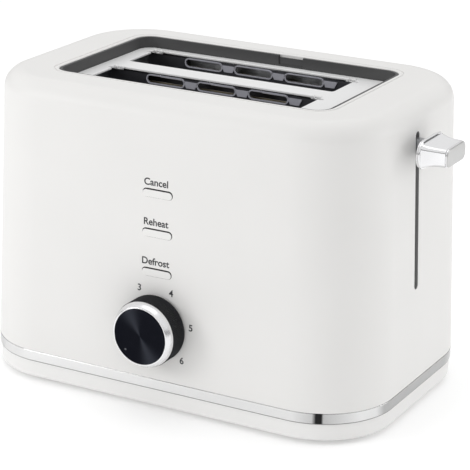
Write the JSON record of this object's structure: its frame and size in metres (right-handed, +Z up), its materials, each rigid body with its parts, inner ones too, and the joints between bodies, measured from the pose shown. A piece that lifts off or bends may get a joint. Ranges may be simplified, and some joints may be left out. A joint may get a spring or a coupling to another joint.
{
  "type": "pop up toaster",
  "caption": "Pop-up toaster with a rounded white shell, a recessed top with long bread slots, a side lever, keys and a browning knob on the front.",
  "frame": {"origin": "centre of the whole object's footprint box, on the plane the feet stand on", "axes": "+X towards the lever end, -Y towards the control panel, +Z up"},
  "size_m": [0.2904, 0.1902, 0.1925],
  "materials": {
    "shell_plastic": "fine satin white moulding",
    "base_plastic": "fine satin white moulding",
    "chrome_trim": "polished chrome",
    "rubber_black": "matte",
    "fastener_steel": "zinc plated",
    "collar_plastic": "fine matte dark grey",
    "plate_metal": "light silver satin paint",
    "galvanised_sheet": "galvanised sheet",
    "guard_sheet": "heat darkened sheet",
    "mica": "pressed mica",
    "heating_alloy": "oxidised ribbon",
    "copper_winding": "lacquered copper",
    "core_iron": "laminated iron",
    "board_laminate": "printed circuit laminate",
    "black_plastic": "matte black moulding",
    "relay_plastic": "glossy blue moulding",
    "capacitor_sleeve": "shrink sleeve",
    "terminal_plastic": "natural nylon",
    "lever_chrome": "polished chrome",
    "lever_silver": "satin silver",
    "key_plastic": "smooth white moulding",
    "plunger_plastic": "moulded",
    "knob_black": "finely ribbed black",
    "knob_chrome": "polished chrome",
    "knob_spun": "spun black anodised",
    "pointer_paint": "light grey paint",
    "shaft_steel": "turned",
    "tray_steel": "tinned sheet"
  },
  "bodies": {
    "housing": {"outer_shell": "shell_plastic", "chrome_band": "chrome_trim", "base_tray": "base_plastic", "rubber_feet": "rubber_black", "base_screws": "fastener_steel", "top_collar": "collar_plastic", "slot_plate": "plate_metal", "left_frame": "galvanised_sheet", "right_frame": "galvanised_sheet", "front_reflector": "galvanised_sheet", "rear_reflector": "galvanised_sheet", "front_heater": "mica", "middle_heater": "mica", "rear_heater": "mica", "front_element": "heating_alloy", "middle_element": "heating_alloy", "rear_element": "heating_alloy", "front_slot_outer_guard": "guard_sheet", "front_slot_inner_guard": "guard_sheet", "rear_slot_inner_guard": "guard_sheet", "rear_slot_outer_guard": "guard_sheet", "top_guide_bracket": "galvanised_sheet", "bottom_guide_bracket": "galvanised_sheet", "guide_rods": "shaft_steel", "rod_nuts": "fastener_steel", "magnet_core": "core_iron", "magnet_coil": "copper_winding", "mains_switch": "black_plastic", "control_board": "board_laminate", "timer_chip": "black_plastic", "relay": "relay_plastic", "capacitors": "capacitor_sleeve", "key_switches": "black_plastic", "browning_control": "shaft_steel", "control_nut": "fastener_steel", "cord_gland": "black_plastic", "terminal_block": "terminal_plastic", "lift_spring": "shaft_steel"},
    "carriage": {"carriage_plate": "galvanised_sheet", "front_bread_rest": "galvanised_sheet", "rear_bread_rest": "galvanised_sheet", "latch_keeper": "core_iron", "lever_arm": "galvanised_sheet", "lever_flange": "lever_chrome", "lever_grip": "lever_chrome", "lever_cap": "lever_silver"},
    "browning_knob": {"control_shaft": "shaft_steel", "knob_body": "knob_black", "knob_ring": "knob_chrome", "knob_face": "knob_spun", "knob_dot": "pointer_paint"},
    "cancel_key": {"cancel_key": "key_plastic", "cancel_plunger": "plunger_plastic"},
    "reheat_key": {"reheat_key": "key_plastic", "reheat_plunger": "plunger_plastic"},
    "defrost_key": {"defrost_key": "key_plastic", "defrost_plunger": "plunger_plastic"},
    "crumb_tray": {"crumb_tray": "tray_steel", "crumb_tray_handle": "base_plastic"}
  },
  "joints": [
    {"name": "carriage_slide", "type": "slide", "parent": "housing", "child": "carriage", "axis": [0, 0, 1], "range_m": [-0.078, 0], "stiffness_N_per_m": 45, "springref_m": 0.09, "deforming": ["lift_spring"]},
    {"name": "knob_turn", "type": "hinge", "parent": "housing", "child": "browning_knob", "pos_m": [-0.01025, -0.08092, 0.0542], "axis": [0, 1, 0], "range_deg": [0, 270]},
    {"name": "cancel_press", "type": "slide", "parent": "housing", "child": "cancel_key", "axis": [0, 1, 0], "range_m": [0, 0.0016], "stiffness_N_per_m": 450, "springref_m": -0.002},
    {"name": "reheat_press", "type": "slide", "parent": "housing", "child": "reheat_key", "axis": [0, 1, 0], "range_m": [0, 0.0016], "stiffness_N_per_m": 450, "springref_m": -0.002},
    {"name": "defrost_press", "type": "slide", "parent": "housing", "child": "defrost_key", "axis": [0, 1, 0], "range_m": [0, 0.0016], "stiffness_N_per_m": 450, "springref_m": -0.002},
    {"name": "crumb_tray_slide", "type": "slide", "parent": "housing", "child": "crumb_tray", "axis": [0, 1, 0], "range_m": [0, 0.135]}
  ]
}
